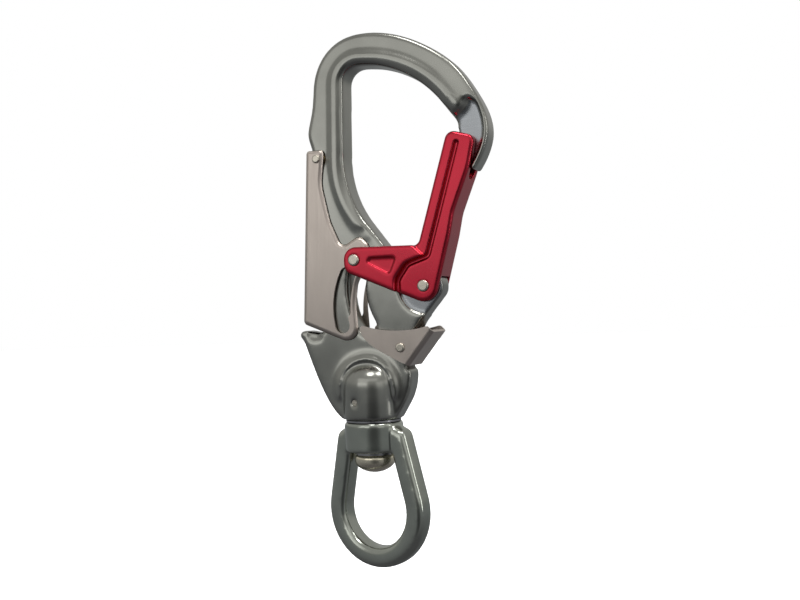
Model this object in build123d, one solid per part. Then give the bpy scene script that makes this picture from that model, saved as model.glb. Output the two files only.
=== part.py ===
from build123d import *
import math
import os

# Snap shackle: a forged hook with a swivel eye, a red gate locked by a lever on
# the spine, and a thumb trigger that guards the lever.
# Frame: +Z along the load line and the swivel axis, hook up and eye down;
# +X from the spine towards the gate; -Y is the front. Millimetres throughout.
# The origin is the centre of a 15 mm bar seated in the crown on the load line.

os.makedirs("parts", exist_ok=True)

# ---- places of the pivots, as (x, z) ----
GATE_PIVOT = (26.3, -84.5)
LOCK_PIN = (-2.5, -72.8)
LEVER_PIVOT = (-18.5, -29.9)
TRIGGER_PIVOT = (16.1, -108.9)

# ---- how far things move, in degrees ----
GATE_SWING = 38.0
LEVER_SWING = 3.8
EYE_TURN = -15.0          # the eye is stored turned this far about the swivel axis

# ---- the layers across the thickness, as half widths from the middle plane ----
BAND_HALF = 5.7           # flat band and lobe of the forged hook
BEAD_HALF = 6.7           # raised rope bead round the inside of the hook
BEAD_WIDTH = 7.2
BEAD_ROUND = 3.3
KNUCKLE_HALF = 4.6        # machined knuckle that the gate straddles
NOSE_HALF = 3.2           # machined web of the nose
LEVER_INNER = 6.3
LEVER_OUTER = 7.5
GATE_INNER = 6.4          # cheeks beside the knuckle
GATE_PAD_INNER = 5.2      # thicker pads of the cheeks, turning inside the knuckle's spotface
GATE_OUTER = 7.7
ARM_INNER = 7.8           # cheeks of the gate's arm, outside the lever
ARM_OUTER = 9.4
TRIGGER_INNER = 7.9
TRIGGER_OUTER = 9.1

GATE_ROUND = 1.5          # rounding of the gate's outline
ARM_ROUND = 1.1
GROOVE_WIDTH = 1.8
GROOVE_DEPTH = 1.2
WINDOW_DEPTH = 0.9        # triangular recess in the gate's arm
NOSE_SLOT_WALL = 40.8     # x of the closed side of the slot that takes the nose
NOSE_SLOT_END = -38.8     # z of the centre of the slot's round lower end
NOSE_SLOT_PLAY = 0.4      # room beside the nose's web
BAND_ROUND = 1.4
LEVER_BACK_ROUND = 1.9
TRIGGER_FOLD_ROUND = 2.0
WING_POCKET_DEPTH = 1.2

# ---- round features ----
KNUCKLE_R = 7.2
LEVER_EAR_R = 13.6        # the bead is cut back this far round the lock pin
SPOTFACE_R = 11.6
GATE_PAD_R = 11.1
WASHER_R = 5.2
LOBE_EDGE_R = 25.9        # edge of the lobe, struck about the gate pivot
PIN_WINDOW_R = 33.6       # outer side of the window that the lock pin sweeps
PIN_WINDOW_END = 211.0    # direction of the window's lower end from the gate pivot
GATE_RIVET_R = 1.9
LOCK_PIN_R = 2.0
LEVER_RIVET_R = 1.3
TRIGGER_RIVET_R = 1.5
HEAD_R = 2.4
SPRING_POCKET_R = 5.0
SPRING_POCKET_HALF = 2.6
BUSH_WALL = 0.9
RUNNING_GAP = 0.04        # radial clearance of every running fit

# ---- the swivel ----
BARREL_R = 12.4
BARREL_TOP = -115.4
BARREL_BOTTOM = -138.2
BARREL_ROUND = 8.6
COLLAR_R = 12.2
COLLAR_TOP = -139.0
COLLAR_BOTTOM = -151.4
HOOD_CENTRE = (0.0, -125.4)
HOOD_R = 13.5
HOOD_HALF = 8.4
HOOD_WALL = 1.9
HOOD_ROUND = 2.6
BOLT_R = 5.0
BOLT_TOP = -123.0
BOLT_HEAD_R = 8.4
BOLT_HEAD_TOP = -152.7
BOLT_HEAD_BOTTOM = -160.1
SWIVEL_PIN_X = -3.9
SWIVEL_PIN_Z = -130.7
SWIVEL_PIN_R = 1.2
DIMPLE_R = 1.9            # ball-cut dimple over each end of the dowel
EYE_CENTRE_Z = -175.3
EYE_MID_R = 19.4
EYE_WIDTH = 8.6
EYE_HALF = 4.8
EYE_ROUND = 3.1
EYE_LEG_LEAN = 13.0       # degrees that each leg leans in towards the collar
EYE_TILT = 2.0            # degrees that the whole ring hangs off the swivel axis
WASHER_HOLE_R = 5.2
SWIVEL_BUSH_WALL = 1.5

FRONT = Plane((0, 0, 0), x_dir=(1, 0, 0), z_dir=(0, -1, 0))


# ---- small helpers ----
def plate(outline, half):
    """A solid of the outline, as thick as half on each side of the middle plane."""
    return extrude(FRONT * outline, amount=half, both=True)


def layer(outline, near, far):
    """The outline as a sheet from near to far in front of the middle plane."""
    plane = Plane((0, -near, 0), x_dir=(1, 0, 0), z_dir=(0, -1, 0))
    return extrude(plane * outline, amount=far - near)


def both_sides(solid):
    return solid + mirror(solid, about=Plane.XZ)


def rod(at, radius, low, high):
    """A cylinder along Y from low to high, centred on the point at = (x, z)."""
    middle = (low + high) / 2
    return Pos(at[0], middle, at[1]) * Rot(90, 0, 0) * Cylinder(radius, high - low)


def post(radius, low, high):
    """A cylinder along the swivel axis from low to high."""
    return Pos(0, 0, (low + high) / 2) * Cylinder(radius, high - low)


def closed(*curves):
    """A flat face inside a closed run of curves, facing up whichever way they run."""
    face = Face(Wire([edge for curve in curves for edge in curve.edges()]))
    return face if face.normal_at().Z > 0 else -face


def about(centre, radius, degrees):
    angle = math.radians(degrees)
    return (centre[0] + radius * math.cos(angle), centre[1] + radius * math.sin(angle))


def turned(point, centre, degrees):
    """The point turned counter-clockwise, seen from the front, about the centre."""
    angle = math.radians(degrees)
    dx, dz = point[0] - centre[0], point[1] - centre[1]
    return (
        centre[0] + dx * math.cos(angle) - dz * math.sin(angle),
        centre[1] + dx * math.sin(angle) + dz * math.cos(angle),
    )


def disc(centre, radius):
    return Pos(centre[0], centre[1]) * Circle(radius)


def is_flat_rim(edge, half):
    """Whether an edge lies on either flat face of a plate that is this half thick."""
    return abs(abs(edge.center().Y) - half) < 0.1


# ---- the forged hook ----
HOOK_OUTER = [
    (-21.7, -30.0), (-21.6, -25.8), (-23.2, -20.2), (-22.0, -13.0), (-20.6, -6.0),
    (-19.6, 3.0), (-15.6, 12.2), (-7.7, 18.7), (4.0, 20.7), (18.9, 17.8), (32.2, 11.1),
    (41.8, 3.3), (48.7, -6.5), (53.6, -16.7), (54.8, -24.0), (53.2, -31.2), (48.9, -38.9),
]
NOSE_INNER = [(46.9, -38.6), (44.6, -34.0), (42.7, -27.0), (41.7, -21.6)]
HOOK_INNER = [(39.6, -17.0), (25.8, 5.2), (-6.1, 8.5), (-7.6, -44.7), (15.6, -75.5)]
HOOK_INNER_RADII = [48.0, 6.8, 45.0, 12.0]
LOBE_RIGHT = [(20.2, -102.6), (18.4, -127.0), (11.6, -138.0)]
LOBE_RIGHT_RADII = [25.0, 22.0]
BEAD_PATH = [(44.2, -16.2), (27.6, 8.6), (-9.8, 12.0), (-11.5, -45.4), (2.5, -64.0)]
BEAD_RADII = [48.0, 10.4, 41.0]
PLATE_LEFT = [(-12.0, -138.0), (-16.0, -133.5), (-20.3, -125.9), (-24.5, -115.8), (-28.5, -104.8)]


def hook_outline():
    knuckle_start = about(GATE_PIVOT, KNUCKLE_R, 130)
    knuckle_top = about(GATE_PIVOT, KNUCKLE_R, 50)
    knuckle_end = about(GATE_PIVOT, KNUCKLE_R, -30)
    return closed(
        Spline(*HOOK_OUTER),
        ThreePointArc(HOOK_OUTER[-1], (48.0, -39.6), NOSE_INNER[0]),
        Spline(*NOSE_INNER),
        ThreePointArc(NOSE_INNER[-1], (41.2, -19.4), HOOK_INNER[0]),
        FilletPolyline(*HOOK_INNER, knuckle_start, radius=HOOK_INNER_RADII),
        ThreePointArc(knuckle_start, knuckle_top, knuckle_end),
        FilletPolyline(knuckle_end, *LOBE_RIGHT, radius=LOBE_RIGHT_RADII),
        Line(LOBE_RIGHT[-1], PLATE_LEFT[0]),
        Spline(*PLATE_LEFT),
        ThreePointArc(PLATE_LEFT[-1], (-29.6, -101.6), (-28.0, -100.7)),
        Line((-28.0, -100.7), (-20.2, -102.2)),
        ThreePointArc((-20.2, -102.2), (-18.9, -101.4), (-18.9, -99.8)),
        Spline((-18.9, -99.8), (-19.3, -95.0), (-20.6, -86.0)),
        Line((-20.6, -86.0), HOOK_OUTER[0]),
    )


def bead():
    """The raised rope bead, a rounded section carried round the inside of the hook."""
    path = FRONT * FilletPolyline(*BEAD_PATH, radius=BEAD_RADII)
    start = Plane(origin=path @ 0, x_dir=(0, 1, 0), z_dir=path % 0)
    section = RectangleRounded(2 * BEAD_HALF, BEAD_WIDTH, BEAD_ROUND)
    return sweep(start * section, path=path)


def nose_pocket():
    """What the cutter takes off each face of the nose, inside its outer lip."""
    lip_inner = Spline((50.4, -12.6), (52.0, -17.5), (52.8, -23.6), (51.4, -30.2), (47.0, -38.2))
    return closed(
        lip_inner,
        Polyline((47.0, -38.2), (46.0, -44.0), (34.0, -44.0), (34.0, -18.0), (41.2, -17.4)),
        Spline((41.2, -17.4), (42.6, -15.4), (44.6, -14.6), (45.6, -12.2), (50.4, -12.6)),
    )


def pin_window():
    """The curved window in the hook that the lock pin sweeps."""
    middle = (LOBE_EDGE_R + PIN_WINDOW_R) / 2
    start = about(GATE_PIVOT, middle, 156.4)
    half_way = about(GATE_PIVOT, middle, 184)
    end = about(GATE_PIVOT, middle, PIN_WINDOW_END)
    return SlotArc(ThreePointArc(start, half_way, end), PIN_WINDOW_R - LOBE_EDGE_R)


def wing_pocket():
    """The lens-shaped recess under the top edge of the plate's wing."""
    return closed(
        ThreePointArc((-26.6, -101.9), (-23.2, -101.6), (-19.6, -103.6)),
        ThreePointArc((-19.6, -103.6), (-23.4, -104.9), (-26.6, -101.9)),
    )


def trigger_relief():
    """The notch in the lobe's edge that lets the trigger's web pass."""
    return closed(Polyline((19.0, -113.2), (18.0, -114.0), (17.2, -116.0), (17.6, -117.8),
                           (26.0, -117.8), (26.0, -112.0), (19.0, -113.2)))


def hood():
    """The arched cowl that carries the plate's face forward round the dome."""
    drum = rod(HOOD_CENTRE, HOOD_R, -HOOD_HALF, HOOD_HALF)
    drum = fillet(drum.edges().filter_by(GeomType.CIRCLE), HOOD_ROUND)
    upper_half = Pos(0, 0, HOOD_CENTRE[1] + 16) * Box(40, 40, 40)
    hollow = disc(HOOD_CENTRE, HOOD_R - HOOD_WALL) + Pos(0, HOOD_CENTRE[1] - 10) * Rectangle(23.2, 20)
    return drum & upper_half - both_sides(layer(hollow, BAND_HALF - 0.4, HOOD_HALF + 1))


def barrel():
    body = post(BARREL_R, BARREL_BOTTOM, BARREL_TOP)
    top = body.edges().filter_by(GeomType.CIRCLE).sort_by(Axis.Z)[-1]
    return fillet(top, BARREL_ROUND)


def bore(at, radius):
    return rod(at, radius, -20, 20)


def hook_body():
    body = plate(hook_outline(), BAND_HALF)
    rims = [e for e in body.edges() if is_flat_rim(e, BAND_HALF) and e.length > 100]
    body = fillet(rims, BAND_ROUND)
    body = body + bead()
    body = body - both_sides(layer(nose_pocket(), NOSE_HALF, BEAD_HALF + 1))
    body = body - both_sides(layer(disc(GATE_PIVOT, SPOTFACE_R), KNUCKLE_HALF, BEAD_HALF + 1))
    body = body - both_sides(layer(disc(LOCK_PIN, LEVER_EAR_R), BAND_HALF + 0.3, BEAD_HALF + 1))
    body = body - plate(pin_window(), BEAD_HALF + 1)
    body = body - plate(trigger_relief(), BEAD_HALF + 1)
    body = body + hood() + barrel()
    body = body - bore(GATE_PIVOT, GATE_RIVET_R + BUSH_WALL + 2 * RUNNING_GAP)
    body = body - rod(GATE_PIVOT, SPRING_POCKET_R, -SPRING_POCKET_HALF, SPRING_POCKET_HALF)
    body = body - bore(LEVER_PIVOT, LEVER_RIVET_R + BUSH_WALL + 2 * RUNNING_GAP)
    body = body - bore(TRIGGER_PIVOT, TRIGGER_RIVET_R + BUSH_WALL + 2 * RUNNING_GAP)
    body = body - post(BOLT_R + RUNNING_GAP, BARREL_BOTTOM - 1, BOLT_TOP + 0.1)
    body = body - both_sides(layer(wing_pocket(), BAND_HALF - WING_POCKET_DEPTH, BAND_HALF + 1))
    body = body - both_sides(Pos(SWIVEL_PIN_X, -BARREL_R - 0.1, SWIVEL_PIN_Z) * Sphere(DIMPLE_R))
    return body - bore((SWIVEL_PIN_X, SWIVEL_PIN_Z), SWIVEL_PIN_R + RUNNING_GAP)


# ---- the swivel ----
def swivel_bolt():
    shank = post(BOLT_R, BOLT_HEAD_TOP - 0.5, BOLT_TOP)
    bulge_z = BOLT_HEAD_TOP - 1.8
    drop = bulge_z - BOLT_HEAD_BOTTOM
    half_way = (BOLT_HEAD_R * math.sin(math.pi / 4), bulge_z - drop * math.sin(math.pi / 4))
    ends = [(1, 0), (0, 1)]
    shoulder = (BOLT_HEAD_R - 0.9, BOLT_HEAD_TOP)
    profile = closed(
        Spline((0, BOLT_HEAD_BOTTOM), half_way, (BOLT_HEAD_R, bulge_z), tangents=ends),
        ThreePointArc((BOLT_HEAD_R, bulge_z), (BOLT_HEAD_R - 0.2, bulge_z + 1.0), shoulder),
        Polyline(shoulder, (0, BOLT_HEAD_TOP), (0, BOLT_HEAD_BOTTOM)),
    )
    head = revolve(FRONT * profile, Axis.Z, 360)
    return shank + head - bore((SWIVEL_PIN_X, SWIVEL_PIN_Z), SWIVEL_PIN_R + RUNNING_GAP)


def swivel_lock_pin():
    """A dowel across the barrel that bites into the side of the bolt."""
    half = math.sqrt(BARREL_R**2 - SWIVEL_PIN_X**2) - 1.3
    return rod((SWIVEL_PIN_X, SWIVEL_PIN_Z), SWIVEL_PIN_R, -half, half)


def thrust_washer_upper():
    low, high = COLLAR_TOP + 0.03, BARREL_BOTTOM - 0.03
    return post(11.4, low, high) - post(WASHER_HOLE_R, low - 1, high + 1)


def thrust_washer_lower():
    low, high = BOLT_HEAD_TOP + 0.03, COLLAR_BOTTOM - 0.03
    return post(7.6, low, high) - post(WASHER_HOLE_R, low - 1, high + 1)


def swivel_bush():
    tube = post(BOLT_R + SWIVEL_BUSH_WALL, COLLAR_BOTTOM, COLLAR_TOP)
    return tube - post(BOLT_R + RUNNING_GAP, COLLAR_BOTTOM - 1, COLLAR_TOP + 1)


def eye_outline():
    """The pear-shaped ring with two straight legs, as an outer and an inner run."""
    centre = (0, EYE_CENTRE_Z)
    outer_r, inner_r = EYE_MID_R + EYE_WIDTH / 2, EYE_MID_R - EYE_WIDTH / 2
    lean = math.tan(math.radians(EYE_LEG_LEAN))
    outer_foot = about(centre, outer_r, EYE_LEG_LEAN)
    inner_foot = about(centre, inner_r, EYE_LEG_LEAN)
    outer_top = (outer_foot[0] - lean * (-143.2 - outer_foot[1]), -143.2)
    inner_top = (inner_foot[0] - lean * (-148.0 - inner_foot[1]), -148.0)
    outer = closed(
        ThreePointArc((-outer_foot[0], outer_foot[1]), (0, EYE_CENTRE_Z - outer_r), outer_foot),
        FilletPolyline(outer_foot, outer_top, (10.5, -140.0), radius=2.4),
        Line((10.5, -140.0), (-10.5, -140.0)),
        FilletPolyline((-10.5, -140.0), (-outer_top[0], outer_top[1]),
                       (-outer_foot[0], outer_foot[1]), radius=2.4),
    )
    inner = closed(
        ThreePointArc((-inner_foot[0], inner_foot[1]), (0, EYE_CENTRE_Z - inner_r), inner_foot),
        Polyline(inner_foot, inner_top, (-inner_top[0], inner_top[1]), (-inner_foot[0], inner_foot[1])),
    )
    return outer - inner


def swivel_eye():
    ring = plate(eye_outline(), EYE_HALF)
    rims = [e for e in ring.edges() if is_flat_rim(e, EYE_HALF) and e.length > 15]
    ring = fillet(rims, EYE_ROUND)
    ring = Pos(0, 0, COLLAR_TOP) * Rot(0, -EYE_TILT, 0) * Pos(0, 0, -COLLAR_TOP) * ring
    collar = post(COLLAR_R, COLLAR_BOTTOM, COLLAR_TOP)
    collar = fillet(collar.edges().filter_by(GeomType.CIRCLE), 0.7)
    ring = ring + collar - post(BOLT_HEAD_R + 1.4, -170, COLLAR_BOTTOM)
    ring = ring - post(BOLT_R + SWIVEL_BUSH_WALL, COLLAR_BOTTOM - 1, COLLAR_TOP + 1)
    return Rot(0, 0, EYE_TURN) * ring


# ---- the gate ----
GATE_CORNERS = [
    (-7.4, -67.3), (-7.2, -77.3), (30.1, -93.1), (38.0, -64.8), (40.0, -55.6),
    (46.9, -38.8), (49.9, -26.3), (38.3, -22.9), (24.4, -68.1),
]
GATE_RADII = [5.0, 4.5, 6.2, 30.0, 18.0, 30.0, 3.4, 3.6, 3.0]


def gate_outline():
    return closed(FilletPolyline(*GATE_CORNERS, radius=GATE_RADII, close=True))


def arm_zone():
    """The part of the gate's outline that stands out over the lever."""
    return closed(
        Polyline((-14, -60), (20.5, -60), (20.5, -66.0), (27.4, -72.6)),
        FilletPolyline((27.4, -72.6), (19.2, -75.4), (14.8, -81.5), (14.8, -96), radius=[5.0, 5.0]),
        Polyline((14.8, -96), (-14, -96), (-14, -60)),
    )


def gate_groove():
    path = FilletPolyline((42.4, -27.8), (28.6, -72.8), (20.0, -75.6), (15.5, -81.8), (15.5, -88.6),
                          radius=[2.0, 5.0, 5.0])
    return trace(path, GROOVE_WIDTH)


def gate_block():
    outline = gate_outline()
    block = plate(outline, GATE_OUTER)
    block = fillet([e for e in block.edges() if is_flat_rim(e, GATE_OUTER)], GATE_ROUND)
    arm = plate(outline & arm_zone(), ARM_OUTER)
    arm = fillet([e for e in arm.edges() if is_flat_rim(e, ARM_OUTER)], ARM_ROUND)
    block = block + arm
    block = block - plate(Pos(-2.25, -78) * Rectangle(23.5, 40), ARM_INNER)
    below_web = Pos(6.1, -81) * Rectangle(40.2, 30) + disc(GATE_PIVOT, KNUCKLE_R + 0.5)
    below_web = below_web + Pos(20, -93) * Rectangle(60, 23)
    block = block - plate(below_web, GATE_INNER)
    block = block + both_sides(layer(outline & disc(GATE_PIVOT, GATE_PAD_R), GATE_PAD_INNER, GATE_INNER))
    slot_half = NOSE_HALF + NOSE_SLOT_PLAY
    slot_end = Pos(NOSE_SLOT_WALL + 12, 0, NOSE_SLOT_END) * Rot(0, 90, 0) * Cylinder(slot_half, 24)
    slot_middle = Pos(NOSE_SLOT_WALL + 12, 0, NOSE_SLOT_END + 15)
    block = block - slot_end - slot_middle * Box(24, 2 * slot_half, 30)
    block = block - both_sides(layer(gate_groove(), GATE_OUTER - GROOVE_DEPTH, ARM_OUTER + 1))
    window = closed(FilletPolyline((3.0, -74.0), (4.3, -72.1), (15.8, -72.3), (12.7, -79.3),
                                   radius=[0.8, 0.8, 1.2, 1.2], close=True))
    block = block - both_sides(layer(window, ARM_OUTER - WINDOW_DEPTH, ARM_OUTER + 1))
    block = block - bore(GATE_PIVOT, GATE_RIVET_R + 0.01)
    return block - bore(LOCK_PIN, LOCK_PIN_R + 0.01)


def rivet(at, shank_r, grip_half, head_r=HEAD_R, head_height=1.0):
    """A shank through the work with a domed head at each end."""
    shank = rod(at, shank_r, -grip_half - 0.2, grip_half + 0.2)
    head = rod(at, head_r, -grip_half - head_height, -grip_half)
    outer_rim = head.edges().filter_by(GeomType.CIRCLE).sort_by(Axis.Y)[0]
    head = fillet(outer_rim, head_height * 0.8)
    return shank + both_sides(head)


def bush(at, shank_r, half):
    outer = rod(at, shank_r + RUNNING_GAP + BUSH_WALL, -half, half)
    return outer - bore(at, shank_r + RUNNING_GAP)


def coil(at, mean_r, wire_r, turns, low):
    """A close-wound torsion spring standing along Y from low."""
    pitch = 2 * wire_r + 0.12
    line = Helix(pitch=pitch, height=pitch * turns, radius=mean_r)
    section = Plane(origin=line @ 0, z_dir=line % 0) * Circle(wire_r)
    spring = sweep(section, path=line, is_frenet=True)
    return Pos(at[0], low + pitch * turns + wire_r, at[1]) * Rot(90, 0, 0) * spring


def gate_pivot_rivet():
    return rivet(GATE_PIVOT, GATE_RIVET_R, GATE_OUTER)


def gate_pivot_bush():
    return bush(GATE_PIVOT, GATE_RIVET_R, KNUCKLE_HALF)


def gate_washer(side):
    """A thin washer between the knuckle and one of the gate's pads."""
    face = disc(GATE_PIVOT, WASHER_R) - disc(GATE_PIVOT, GATE_RIVET_R + 0.1)
    ring = layer(face, KNUCKLE_HALF + 0.05, GATE_PAD_INNER - 0.05)
    return ring if side == "front" else mirror(ring, about=Plane.XZ)


def gate_spring():
    return coil(GATE_PIVOT, 3.9, 0.5, 3.5, -SPRING_POCKET_HALF + 0.1)


def gate_lock_pin():
    return rivet(LOCK_PIN, LOCK_PIN_R, ARM_OUTER)


# ---- the spine lever ----
LEVER_CORNERS = [
    (-27.3, -98.1), (-23.4, -26.0), (-15.4, -26.0), (-15.6, -30.0), (-16.9, -40.5),
    (-13.6, -56.0), (-8.8, -67.0), (-1.0, -62.4), (3.3, -66.6), (2.4, -76.5), (-1.9, -81.5),
    (-3.2, -91.0), (-2.1, -108.5),
]
LEVER_RADII = [2.2, 1.4, 1.6, 10.0, 18.0, 20.0, 2.6, 3.0, 3.0, 5.0, 8.0, 20.0, 5.4]


def lever_outline():
    return closed(FilletPolyline(*LEVER_CORNERS, radius=LEVER_RADII, close=True))


def pin_in_lever(share):
    """Where the lock pin stands in the lever when both have moved by this share."""
    swung = turned(LOCK_PIN, GATE_PIVOT, GATE_SWING * share)
    return turned(swung, LEVER_PIVOT, -LEVER_SWING * share)


def lever_slot():
    """The track of the lock pin, with the wide relief on its spine side."""
    track = ThreePointArc(pin_in_lever(0), pin_in_lever(0.5), pin_in_lever(1))
    narrow = SlotArc(track, 2 * (LOCK_PIN_R + 0.3))
    relief_line = ThreePointArc((-6.6, -78.4), (-9.9, -90.0), (-9.3, -99.3))
    return narrow + SlotArc(relief_line, 6.4)


def spine_lever():
    outline = lever_outline()
    shell = plate(outline, LEVER_OUTER)
    rims = shell.edges().filter_by(lambda e: is_flat_rim(e, LEVER_OUTER))
    shell = fillet(rims.sort_by(lambda e: e.length)[-2:], LEVER_BACK_ROUND)
    inside = closed(Polyline((-26.2, -112), (-26.2, -98.1), (-22.2, -26.0), (-22.0, -18), (12, -18),
                             (12, -112), (-26.2, -112)))
    shell = shell - plate(inside, LEVER_INNER)
    shell = shell - plate(lever_slot(), LEVER_OUTER + 1)
    return shell - bore(LEVER_PIVOT, LEVER_RIVET_R + 0.01)


def lever_pivot_rivet():
    return rivet(LEVER_PIVOT, LEVER_RIVET_R, LEVER_OUTER, head_r=1.75, head_height=0.8)


def lever_pivot_bush():
    return bush(LEVER_PIVOT, LEVER_RIVET_R, LEVER_INNER - 0.05)


def lever_spring():
    """A bowed leaf between the lever's back and the spine."""
    bow = ThreePointArc((-23.85, -60.0), (-21.2, -72.0), (-25.2, -84.0))
    return plate(trace(bow, 0.5), 3.0)


# ---- the trigger ----
TRIGGER_CORNER = (30.1, -103.0)
TRIGGER_HEEL = (19.4, -116.3)


def trigger_outline():
    return closed(
        Spline((0.4, -99.7), (5.0, -101.0), (10.7, -101.8), (18.6, -102.0), (23.6, -101.5), (26.8, -100.8)),
        ThreePointArc((26.8, -100.8), (27.6, -100.8), (28.3, -101.3)),
        Line((28.3, -101.3), TRIGGER_CORNER),
        Line(TRIGGER_CORNER, TRIGGER_HEEL),
        Spline(TRIGGER_HEEL, (14.6, -114.0), (8.4, -110.7), (1.7, -106.0), (-1.0, -101.8)),
        ThreePointArc((-1.0, -101.8), (-0.8, -100.1), (0.4, -99.7)),
    )


def trigger_plate():
    shell = plate(trigger_outline(), TRIGGER_OUTER)
    rims = shell.edges().filter_by(GeomType.LINE)
    fold = [e for e in rims if is_flat_rim(e, TRIGGER_OUTER) and e.length > 10]
    shell = fillet(fold, TRIGGER_FOLD_ROUND)
    wall = TRIGGER_OUTER - TRIGGER_INNER
    along = (Vector(*TRIGGER_CORNER) - Vector(*TRIGGER_HEEL)).normalized()
    inward = Vector(-along.Y, along.X)
    top = Vector(*TRIGGER_CORNER) + inward * wall + along * 20
    low = Vector(*TRIGGER_HEEL) + inward * wall - along * 20
    hollow = closed(Polyline((top.X, top.Y), (low.X, low.Y), (-30, -140), (-30, -80), (top.X, top.Y)))
    shell = shell - plate(hollow, TRIGGER_INNER)
    return shell - bore(TRIGGER_PIVOT, TRIGGER_RIVET_R + 0.01)


def trigger_rivet():
    return rivet(TRIGGER_PIVOT, TRIGGER_RIVET_R, TRIGGER_OUTER, head_r=1.95, head_height=0.9)


def trigger_bush():
    return bush(TRIGGER_PIVOT, TRIGGER_RIVET_R, TRIGGER_INNER - 0.05)


def trigger_spring():
    return coil(TRIGGER_PIVOT, 3.2, 0.35, 1.6, BAND_HALF + 0.15)


PARTS = {
    "hook_body": hook_body,
    "swivel_bolt": swivel_bolt,
    "swivel_lock_pin": swivel_lock_pin,
    "thrust_washer_upper": thrust_washer_upper,
    "thrust_washer_lower": thrust_washer_lower,
    "swivel_bush": swivel_bush,
    "swivel_eye": swivel_eye,
    "gate_block": gate_block,
    "gate_pivot_rivet": gate_pivot_rivet,
    "gate_pivot_bush": gate_pivot_bush,
    "gate_washer_front": lambda: gate_washer("front"),
    "gate_washer_rear": lambda: gate_washer("rear"),
    "gate_spring": gate_spring,
    "gate_lock_pin": gate_lock_pin,
    "spine_lever": spine_lever,
    "lever_pivot_rivet": lever_pivot_rivet,
    "lever_pivot_bush": lever_pivot_bush,
    "lever_spring": lever_spring,
    "trigger_plate": trigger_plate,
    "trigger_rivet": trigger_rivet,
    "trigger_bush": trigger_bush,
    "trigger_spring": trigger_spring,
}

if __name__ == "__main__":
    for name, make in PARTS.items():
        export_step(make(), f"parts/{name}.step")
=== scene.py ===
import math

import bmesh
import bpy
import numpy as np
from mathutils import Matrix, Vector


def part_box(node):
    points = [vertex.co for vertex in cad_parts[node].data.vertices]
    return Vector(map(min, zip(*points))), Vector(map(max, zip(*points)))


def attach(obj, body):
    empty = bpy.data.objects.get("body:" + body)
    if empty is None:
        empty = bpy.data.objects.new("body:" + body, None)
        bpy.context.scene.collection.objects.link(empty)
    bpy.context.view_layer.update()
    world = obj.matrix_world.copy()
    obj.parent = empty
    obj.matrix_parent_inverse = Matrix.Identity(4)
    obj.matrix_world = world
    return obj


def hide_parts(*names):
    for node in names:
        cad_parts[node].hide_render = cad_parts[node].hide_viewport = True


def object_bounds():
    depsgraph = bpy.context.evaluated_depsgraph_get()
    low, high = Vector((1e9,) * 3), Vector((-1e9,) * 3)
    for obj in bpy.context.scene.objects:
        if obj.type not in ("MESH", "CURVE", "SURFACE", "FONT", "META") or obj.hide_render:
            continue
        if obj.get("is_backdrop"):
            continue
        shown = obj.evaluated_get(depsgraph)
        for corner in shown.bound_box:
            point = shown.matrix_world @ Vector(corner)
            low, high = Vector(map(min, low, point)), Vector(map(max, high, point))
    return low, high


# Snap shackle: looks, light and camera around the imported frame. Metres throughout.
# +Z is the load line, +X points from the spine to the gate, -Y is the front.

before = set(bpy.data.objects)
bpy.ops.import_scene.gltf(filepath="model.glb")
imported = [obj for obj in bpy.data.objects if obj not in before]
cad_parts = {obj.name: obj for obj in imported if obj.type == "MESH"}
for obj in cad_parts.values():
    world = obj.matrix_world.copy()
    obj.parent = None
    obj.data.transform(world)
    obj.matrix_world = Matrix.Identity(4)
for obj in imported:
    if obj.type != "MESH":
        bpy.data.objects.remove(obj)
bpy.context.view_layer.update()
MM = 0.001

# ---- camera: a little to the right of straight on, level, slightly rolled ----
VIEW_AZIMUTH = 20.0
VIEW_ELEVATION = -1.0
VIEW_ROLL = 2.15
VIEW_DISTANCE = 0.419
VIEW_TARGET = Vector((0.01348, 0.0, -0.08966))
LENS_MM = 46.0
SENSOR_MM = 36.0
NEAR_CLIP = 0.01

# ---- the room that the metal reflects ----
# Each row is the rise of the direction looked in, from -1 (down) to 1 (up), and the colour there.
ROOM = [
    (-0.75, (0.11, 0.11, 0.12)), (-0.12, (0.26, 0.27, 0.28)), (0.02, (0.27, 0.28, 0.28)),
    (0.22, (0.46, 0.46, 0.45)), (1.0, (0.50, 0.50, 0.49)),
]
DARK_PATCH = (20.0, -14.0)  # azimuth and elevation of the dark side of the room
DARK_PATCH_EDGE = 32.0      # degrees from its middle at which it has faded out
DARK_PATCH_LEVEL = 0.3

# ---- floor and lights ----
FLOOR_DROP = 45 * MM        # the floor is this far below the swivel eye
FLOOR_HALF = 6.0
FLOOR_SUN, FLOOR_SUN_ANGLE = 4.2, 0.6
# name, azimuth, elevation, distance, width, height, watts
SOFTBOXES = [
    ("front_panel", -20, 18, 0.9, 0.66, 0.50, 0.52),
    ("front_low", -20, 8, 0.85, 0.64, 0.16, 0.13),
    ("upper_right", 22, 30, 0.9, 0.60, 0.22, 0.16),
    ("fill_right", 48, 10, 0.9, 0.40, 0.30, 0.12),
    ("overhead_left", 5, 65, 0.8, 0.22, 0.22, 1.3),
    ("overhead_right", 67, 60, 0.8, 0.22, 0.22, 1.3),
    ("strip_right", 85, 12, 0.9, 0.10, 0.7, 0.9),
]

# ---- softened skins: voxel size and smoothing passes ----
HOOK_VOXEL, HOOK_PASSES = 0.55 * MM, 20
EYE_VOXEL, EYE_PASSES = 0.45 * MM, 24
GATE_VOXEL, GATE_PASSES = 0.32 * MM, 7
BEAD_END_PASSES = 60
HOOD_PASSES = 30
HOOD_ABOVE_DOWEL = 5.3 * MM  # height of the hood's centre over the dowel in the barrel


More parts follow.
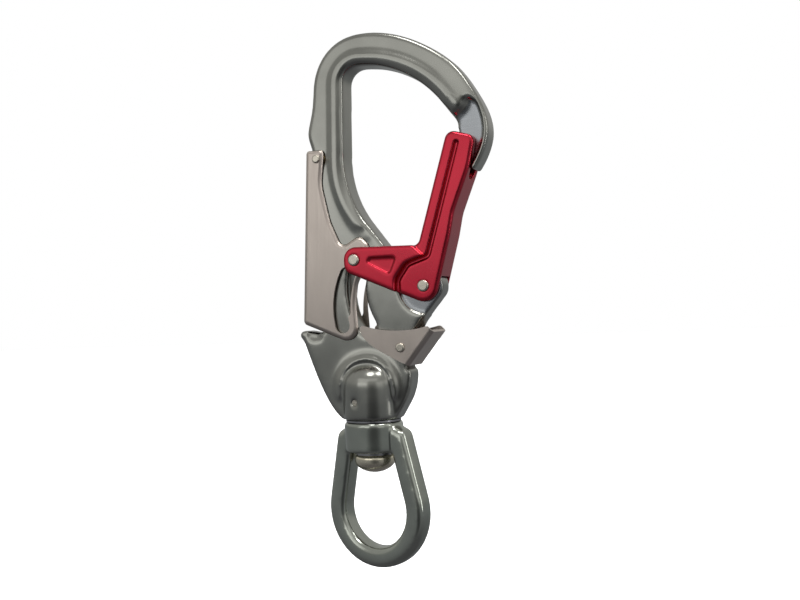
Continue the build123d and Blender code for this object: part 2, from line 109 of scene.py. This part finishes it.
# ---- node helpers ----
class Shader:
    """A material whose node tree is built one named step at a time."""

    def __init__(self, name, colour, metallic, roughness, **sockets):
        self.material = bpy.data.materials.new(name)
        self.material.use_nodes = True
        self.nodes = self.material.node_tree.nodes
        self.links = self.material.node_tree.links
        self.bsdf = self.nodes["Principled BSDF"]
        self.set(self.bsdf, "Base Color", (*colour, 1.0))
        self.set(self.bsdf, "Metallic", metallic)
        self.set(self.bsdf, "Roughness", roughness)
        for socket, value in sockets.items():
            self.set(self.bsdf, socket.replace("_", " "), value)
        self.coords = self.nodes.new("ShaderNodeTexCoord").outputs["Object"]

    def set(self, node, socket, value):
        if hasattr(value, "is_output"):
            self.links.new(value, node.inputs[socket])
        else:
            node.inputs[socket].default_value = value

    def mapped(self, scale, rotation=(0.0, 0.0, 0.0)):
        """Object coordinates scaled per axis, in features per metre, after a turn."""
        node = self.nodes.new("ShaderNodeMapping")
        node.vector_type = "TEXTURE"
        node.inputs["Rotation"].default_value = rotation
        node.inputs["Scale"].default_value = [1.0 / s for s in scale]
        self.links.new(self.coords, node.inputs["Vector"])
        return node.outputs["Vector"]

    def noise(self, vector, detail=3.0, rough=0.5, scale=1.0):
        node = self.nodes.new("ShaderNodeTexNoise")
        self.set(node, "Vector", vector)
        self.set(node, "Scale", scale)
        self.set(node, "Detail", detail)
        self.set(node, "Roughness", rough)
        return node.outputs["Fac"]

    def spread(self, value, low, high, to_low=0.0, to_high=1.0):
        node = self.nodes.new("ShaderNodeMapRange")
        self.set(node, "Value", value)
        self.set(node, "From Min", low)
        self.set(node, "From Max", high)
        self.set(node, "To Min", to_low)
        self.set(node, "To Max", to_high)
        return node.outputs["Result"]

    def maths(self, operation, first, second):
        node = self.nodes.new("ShaderNodeMath")
        node.operation = operation
        self.set(node, 0, first)
        self.set(node, 1, second)
        return node.outputs[0]

    def blend(self, factor, first, second):
        node = self.nodes.new("ShaderNodeMix")
        node.data_type = "RGBA"
        self.set(node, 0, factor)
        self.set(node, 6, first if hasattr(first, "is_output") else (*first, 1.0))
        self.set(node, 7, second if hasattr(second, "is_output") else (*second, 1.0))
        return node.outputs[2]

    def bump(self, height, strength, distance, under=None):
        node = self.nodes.new("ShaderNodeBump")
        self.set(node, "Height", height)
        self.set(node, "Strength", strength)
        self.set(node, "Distance", distance)
        if under is not None:
            self.set(node, "Normal", under)
        return node.outputs["Normal"]


# ---- materials ----
def forged_metal(name, colour, roughness):
    """Hard-anodised forging: a tumbled, faintly wavy surface with a fine grain."""
    s = Shader(name, colour, 1.0, roughness)
    cloud = s.noise(s.mapped((70, 70, 70)), detail=4.0)
    grain = s.noise(s.mapped((1900, 1900, 1900)), detail=2.0)
    waves = s.noise(s.mapped((170, 170, 80)), detail=3.0, rough=0.5)
    lighter = [c * 1.08 for c in colour]
    darker = [c * 0.88 for c in colour]
    s.set(s.bsdf, "Base Color", s.blend(s.spread(cloud, 0.3, 0.7), darker, lighter))
    s.set(s.bsdf, "Roughness", s.spread(cloud, 0.25, 0.75, roughness - 0.03, roughness + 0.05))
    soft = s.bump(waves, 0.06, 0.00010)
    s.set(s.bsdf, "Normal", s.bump(grain, 0.02, 0.00001, soft))
    return s.material


def machined_metal(name, colour, roughness):
    """A cut face with fine parallel tool lines along X."""
    s = Shader(name, colour, 1.0, roughness)
    lines = s.noise(s.mapped((40, 2200, 2200)), detail=3.0, rough=0.6)
    broad = s.noise(s.mapped((90, 90, 90)), detail=3.0)
    darker = [c * 0.9 for c in colour]
    s.set(s.bsdf, "Base Color", s.blend(s.spread(broad, 0.3, 0.7), darker, colour))
    s.set(s.bsdf, "Roughness", s.spread(lines, 0.3, 0.7, roughness - 0.04, roughness + 0.07))
    s.set(s.bsdf, "Normal", s.bump(lines, 0.10, 0.00002))
    return s.material


def sheet_steel(name, colour, roughness, tilt):
    """Satin stainless sheet, brushed nearly along Z, with faint handling marks."""
    s = Shader(name, colour, 1.0, roughness, Anisotropic=0.35)
    brushed = s.noise(s.mapped((2600, 2600, 70), (0.0, tilt, 0.0)), detail=4.0, rough=0.62)
    smears = s.noise(s.mapped((110, 110, 60)), detail=4.0, rough=0.55)
    darker = [c * 0.9 for c in colour]
    s.set(s.bsdf, "Base Color", s.blend(s.spread(smears, 0.3, 0.72), darker, colour))
    from_brush = s.spread(brushed, 0.25, 0.75, -0.05, 0.06)
    from_smears = s.spread(smears, 0.3, 0.7, -0.03, 0.05)
    s.set(s.bsdf, "Roughness", s.maths("ADD", s.maths("ADD", from_brush, from_smears), roughness))
    s.set(s.bsdf, "Normal", s.bump(brushed, 0.20, 0.00002))
    return s.material


def red_anodised(name, colour):
    """Anodised aluminium: red dye under a hard clear oxide over a fine blasted surface."""
    s = Shader(name, colour, 1.0, 0.28, Coat_Weight=0.25, Coat_Roughness=0.12, Coat_IOR=1.6)
    cloud = s.noise(s.mapped((80, 80, 80)), detail=4.0)
    blasted = s.noise(s.mapped((3600, 3600, 3600)), detail=2.0)
    darker = [c * 0.80 for c in colour]
    s.set(s.bsdf, "Base Color", s.blend(s.spread(cloud, 0.3, 0.7), darker, colour))
    s.set(s.bsdf, "Roughness", s.spread(cloud, 0.3, 0.7, 0.25, 0.32))
    s.set(s.bsdf, "Normal", s.bump(blasted, 0.15, 0.00001))
    return s.material


def plain_metal(name, colour, roughness):
    """Turned or drawn metal with a fine even grain."""
    s = Shader(name, colour, 1.0, roughness)
    grain = s.noise(s.mapped((1500, 1500, 1500)), detail=3.0)
    s.set(s.bsdf, "Roughness", s.spread(grain, 0.3, 0.7, roughness - 0.04, roughness + 0.06))
    s.set(s.bsdf, "Normal", s.bump(grain, 0.12, 0.00002))
    return s.material


def dress(material, *nodes):
    """Give the CAD nodes that are shown as they are this material."""
    for node in nodes:
        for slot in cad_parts[node].material_slots:
            slot.material = material


FORGED = forged_metal("forged_grey", (0.335, 0.335, 0.305), 0.20)
EYE = forged_metal("eye_grey", (0.42, 0.44, 0.39), 0.18)
CUT_GREY = machined_metal("cut_grey", (0.36, 0.375, 0.39), 0.24)
STEEL_SHEET = sheet_steel("stainless_plate", (0.60, 0.53, 0.475), 0.34, tilt=math.radians(3))
RED = red_anodised("red_anodised", (0.56, 0.021, 0.046))
RIVET = plain_metal("rivet_steel", (0.58, 0.54, 0.46), 0.26)
BOLT = plain_metal("bolt_nickel", (0.78, 0.72, 0.57), 0.22)
BRONZE = plain_metal("bush_bronze", (0.42, 0.30, 0.15), 0.36)
SPRING = plain_metal("spring_steel", (0.34, 0.34, 0.35), 0.30)

dress(STEEL_SHEET, "spine_lever", "trigger_plate")
dress(RIVET, "gate_pivot_rivet", "gate_lock_pin", "lever_pivot_rivet", "trigger_rivet",
      "gate_washer_front", "gate_washer_rear", "swivel_lock_pin")
dress(BOLT, "swivel_bolt")
dress(BRONZE, "gate_pivot_bush", "lever_pivot_bush", "trigger_bush", "swivel_bush")
dress(SPRING, "thrust_washer_upper", "thrust_washer_lower", "gate_spring", "lever_spring",
      "trigger_spring")


# ---- forged and milled shapes with soft edges ----
def remeshed(node, name, voxel, material):
    """A copy of a CAD node's mesh as an even skin that can be smoothed; it stands for the node."""
    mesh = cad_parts[node].data.copy()
    mesh.name = name
    mesh.materials.clear()
    mesh.materials.append(material)
    piece = bpy.data.objects.new(name, mesh)
    bpy.context.scene.collection.objects.link(piece)
    skin = piece.modifiers.new("skin", "REMESH")
    skin.mode = "VOXEL"
    skin.voxel_size = voxel
    skin.use_smooth_shade = True
    apply_modifiers(piece)
    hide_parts(node)
    return piece


def apply_modifiers(piece):
    """Turn the evaluated mesh into the piece's own."""
    bpy.context.view_layer.update()
    graph = bpy.context.evaluated_depsgraph_get()
    mesh = bpy.data.meshes.new_from_object(piece.evaluated_get(graph))
    piece.modifiers.clear()
    piece.data = mesh


def relax(piece, passes, weight=None):
    """Laplacian smoothing; weight, if given, maps the points to shares from 0 to 1."""
    mesh = piece.data
    count = len(mesh.vertices)
    points = np.empty(count * 3, np.float32)
    mesh.vertices.foreach_get("co", points)
    points = points.reshape(-1, 3).astype(np.float64)
    edges = np.empty(len(mesh.edges) * 2, np.int32)
    mesh.edges.foreach_get("vertices", edges)
    edges = edges.reshape(-1, 2)
    first, second = edges[:, 0], edges[:, 1]
    degree = np.bincount(edges.ravel(), minlength=count)[:, None]
    share = 0.5 if weight is None else 0.5 * weight(points)[:, None]
    for _ in range(passes):
        total = np.zeros_like(points)
        for axis in range(3):
            total[:, axis] = (np.bincount(first, points[second, axis], count)
                              + np.bincount(second, points[first, axis], count))
        points += share * (total / degree - points)
    mesh.vertices.foreach_set("co", points.astype(np.float32).ravel())
    mesh.update()


def near(points, centre, radius, fade):
    """1 within a radius of a place on the front view, falling to 0 over the fade."""
    away = np.hypot(points[:, 0] - centre[0], points[:, 2] - centre[1])
    return np.clip((radius + fade - away) / fade, 0.0, 1.0)


def middle(node):
    """The middle of a CAD node's box."""
    low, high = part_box(node)
    return (low + high) / 2


def forging_softness(points):
    """How freely the hook's skin is smoothed: little on cut faces and bores, fully elsewhere."""
    gate = middle("gate_pivot_rivet")
    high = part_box("hook_body")[1]
    knuckle = near(points, (gate.x, gate.z), 12.5 * MM, 1.5 * MM)
    nose = near(points, (high.x - 6 * MM, high.z - 47 * MM), 12 * MM, 4 * MM)
    return 1.0 - 0.75 * np.maximum(knuckle, 0.6 * nose)


def bead_end(points):
    """1 where the bead runs out above the nose, so that its step fades into the flat."""
    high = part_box("hook_body")[1]
    return near(points, (high.x - 12.5 * MM, high.z - 36.0 * MM), 3.5 * MM, 3.0 * MM)


def hood_rim(points):
    """1 round the hood over the barrel's dome, 0 below it, so that the hood flows out of the plate."""
    dowel = middle("swivel_lock_pin")
    above = np.clip((points[:, 2] - dowel.z) / (4 * MM), 0.0, 1.0)
    return above * near(points, (0.0, dowel.z + HOOD_ABOVE_DOWEL), 15 * MM, 3 * MM)


def mark_cut_faces(piece):
    """The nose's flat and the knuckle's flat are bare cut metal, in the second material slot."""
    gate = middle("gate_pivot_rivet")
    nose_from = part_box("gate_block")[1].x - 9 * MM
    flat_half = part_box("gate_pivot_bush")[1].y + 0.25 * MM
    piece.data.materials.append(CUT_GREY)
    for face in piece.data.polygons:
        x, y, z = face.center
        flat = abs(face.normal.y) > 0.9 and abs(y) < flat_half
        on_nose = x > nose_from and z > gate.z + 40 * MM
        on_knuckle = math.hypot(x - gate.x, z - gate.z) < 12 * MM
        if flat and (on_nose or on_knuckle):
            face.material_index = 1


forging = remeshed("hook_body", "hook_forging", HOOK_VOXEL, FORGED)
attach(forging, "hook")
relax(forging, HOOK_PASSES, weight=forging_softness)
relax(forging, BEAD_END_PASSES, weight=bead_end)
relax(forging, HOOD_PASSES, weight=hood_rim)
mark_cut_faces(forging)

eye_ring = remeshed("swivel_eye", "eye_forging", EYE_VOXEL, EYE)
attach(eye_ring, "eye")
relax(eye_ring, EYE_PASSES)

gate_milling = remeshed("gate_block", "gate_milling", GATE_VOXEL, RED)
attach(gate_milling, "gate")
relax(gate_milling, GATE_PASSES)


# ---- floor, light and camera ----
def floor():
    """A plain pale floor that the object's metal doesn't reflect."""
    low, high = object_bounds()
    mesh = bpy.data.meshes.new("floor")
    grid = bmesh.new()
    bmesh.ops.create_grid(grid, x_segments=1, y_segments=1, size=FLOOR_HALF)
    grid.to_mesh(mesh)
    grid.free()
    plane = bpy.data.objects.new("floor", mesh)
    bpy.context.scene.collection.objects.link(plane)
    plane.location = (0.0, 0.0, low[2] - FLOOR_DROP)
    paint = Shader("floor_paint", (0.93, 0.93, 0.93), 0.0, 0.9)
    mesh.materials.append(paint.material)
    plane.visible_glossy = False
    plane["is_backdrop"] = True
    return plane


def floor_light(plane):
    """An overhead light for the floor alone, so that it stays white under the object."""
    sun = bpy.data.lights.new("floor_light", "SUN")
    sun.energy, sun.angle = FLOOR_SUN, FLOOR_SUN_ANGLE
    lamp = bpy.data.objects.new("floor_light", sun)
    bpy.context.scene.collection.objects.link(lamp)
    receivers = bpy.data.collections.new("floor_only")
    receivers.objects.link(plane)
    lamp.light_linking.receiver_collection = receivers


def bearing(azimuth, elevation):
    """The unit vector that points that way: azimuth 0 is the front, 90 is +X."""
    a, e = math.radians(azimuth), math.radians(elevation)
    return Vector((math.sin(a) * math.cos(e), -math.cos(a) * math.cos(e), math.sin(e)))


def softbox(name, azimuth, elevation, distance, width, height, watts):
    """A rectangular light on a sphere round the object, facing its middle."""
    light = bpy.data.lights.new(name, "AREA")
    light.shape = "RECTANGLE"
    light.size, light.size_y = width, height
    light.energy = watts
    lamp = bpy.data.objects.new(name, light)
    bpy.context.scene.collection.objects.link(lamp)
    way = bearing(azimuth, elevation)
    lamp.location = VIEW_TARGET + way * distance
    lamp.visible_camera = False
    lamp.rotation_euler = way.to_track_quat("Z", "Y").to_euler()


def room_colour(nodes, links, direction):
    """The room's colour by how steeply the direction rises."""
    split = nodes.new("ShaderNodeSeparateXYZ")
    links.new(direction, split.inputs[0])
    height = nodes.new("ShaderNodeMapRange")
    height.inputs["From Min"].default_value = -1.0
    links.new(split.outputs["Z"], height.inputs["Value"])
    levels = nodes.new("ShaderNodeValToRGB")
    links.new(height.outputs["Result"], levels.inputs["Fac"])
    stops = levels.color_ramp.elements
    stops.remove(stops[1])
    stops[0].position, stops[0].color = (1 + ROOM[0][0]) / 2, (*ROOM[0][1], 1.0)
    for rise, colour in ROOM[1:]:
        stops.new((1 + rise) / 2).color = (*colour, 1.0)
    return levels.outputs["Color"]


def room_shade(nodes, links, direction):
    """Less than 1 towards the dark side of the room, 1 elsewhere."""
    ahead = nodes.new("ShaderNodeVectorMath")
    ahead.operation = "DOT_PRODUCT"
    ahead.inputs[1].default_value = bearing(*DARK_PATCH)
    links.new(direction, ahead.inputs[0])
    shade = nodes.new("ShaderNodeMapRange")
    shade.interpolation_type = "SMOOTHSTEP"
    shade.inputs["From Min"].default_value = math.cos(math.radians(DARK_PATCH_EDGE))
    shade.inputs["To Min"].default_value = 1.0
    shade.inputs["To Max"].default_value = DARK_PATCH_LEVEL
    links.new(ahead.outputs["Value"], shade.inputs["Value"])
    return shade.outputs["Result"]


def studio_world():
    """White to the eye; reflections see a pale room with a dark floor and a dark patch ahead."""
    world = bpy.data.worlds.new("studio")
    bpy.context.scene.world = world
    world.use_nodes = True
    nodes, links = world.node_tree.nodes, world.node_tree.links
    nodes.clear()
    direction = nodes.new("ShaderNodeTexCoord").outputs["Generated"]
    room = nodes.new("ShaderNodeBackground")
    links.new(room_colour(nodes, links, direction), room.inputs["Color"])
    links.new(room_shade(nodes, links, direction), room.inputs["Strength"])
    white = nodes.new("ShaderNodeBackground")
    white.inputs["Color"].default_value = (1, 1, 1, 1)
    rays = nodes.new("ShaderNodeLightPath")
    mix = nodes.new("ShaderNodeMixShader")
    links.new(rays.outputs["Is Camera Ray"], mix.inputs[0])
    links.new(room.outputs[0], mix.inputs[1])
    links.new(white.outputs[0], mix.inputs[2])
    out = nodes.new("ShaderNodeOutputWorld")
    links.new(mix.outputs[0], out.inputs["Surface"])


def camera():
    turn, roll = math.radians(VIEW_AZIMUTH), math.radians(VIEW_ROLL)
    back = bearing(VIEW_AZIMUTH, VIEW_ELEVATION)
    right = Vector((math.cos(turn), math.sin(turn), 0.0))
    up = back.cross(right)
    rolled_right = right * math.cos(roll) - up * math.sin(roll)
    rolled_up = right * math.sin(roll) + up * math.cos(roll)
    lens = bpy.data.cameras.new("camera")
    lens.lens, lens.sensor_width, lens.clip_start = LENS_MM, SENSOR_MM, NEAR_CLIP
    view = bpy.data.objects.new("camera", lens)
    bpy.context.scene.collection.objects.link(view)
    axes = Matrix((rolled_right, rolled_up, back)).transposed().to_4x4()
    view.matrix_world = Matrix.Translation(VIEW_TARGET + back * VIEW_DISTANCE) @ axes
    bpy.context.scene.camera = view


bpy.context.scene.view_settings.view_transform = "Standard"
floor_light(floor())
studio_world()
for light in SOFTBOXES:
    softbox(*light)
camera()
